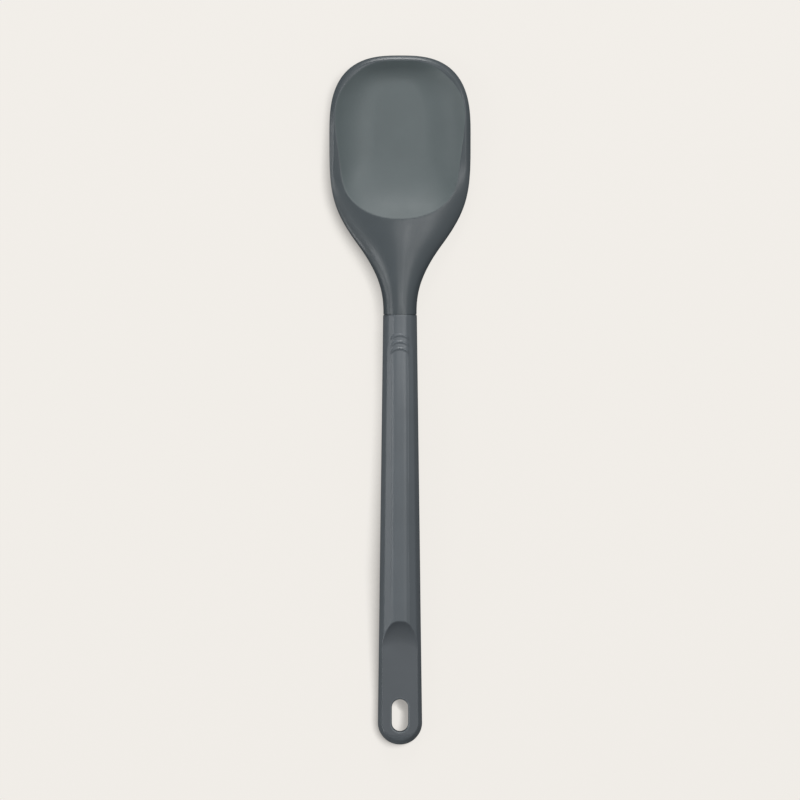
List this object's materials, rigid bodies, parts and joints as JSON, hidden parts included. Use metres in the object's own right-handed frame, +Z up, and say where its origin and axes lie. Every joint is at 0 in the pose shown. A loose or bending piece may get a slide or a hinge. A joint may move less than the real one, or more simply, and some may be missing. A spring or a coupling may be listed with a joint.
{
  "type": "nylon spoon",
  "caption": "Dark grey nylon cooking spoon with a squarish bowl, slim faceted handle, thumb scoop and hanging slot, lying on its back",
  "frame": {"origin": "centre of the spoon's footprint, on the surface that it lies on", "axes": "+Y along the spoon towards the bowl's tip, +X across it, +Z up out of the open bowl"},
  "size_m": [0.0666, 0.3252, 0.0165],
  "materials": {
    "head_nylon": "satin moulded nylon",
    "handle_nylon": "matt moulded nylon with a fine grain"
  },
  "bodies": {
    "root": {"head": "head_nylon", "handle": "handle_nylon"}
  },
  "joints": []
}
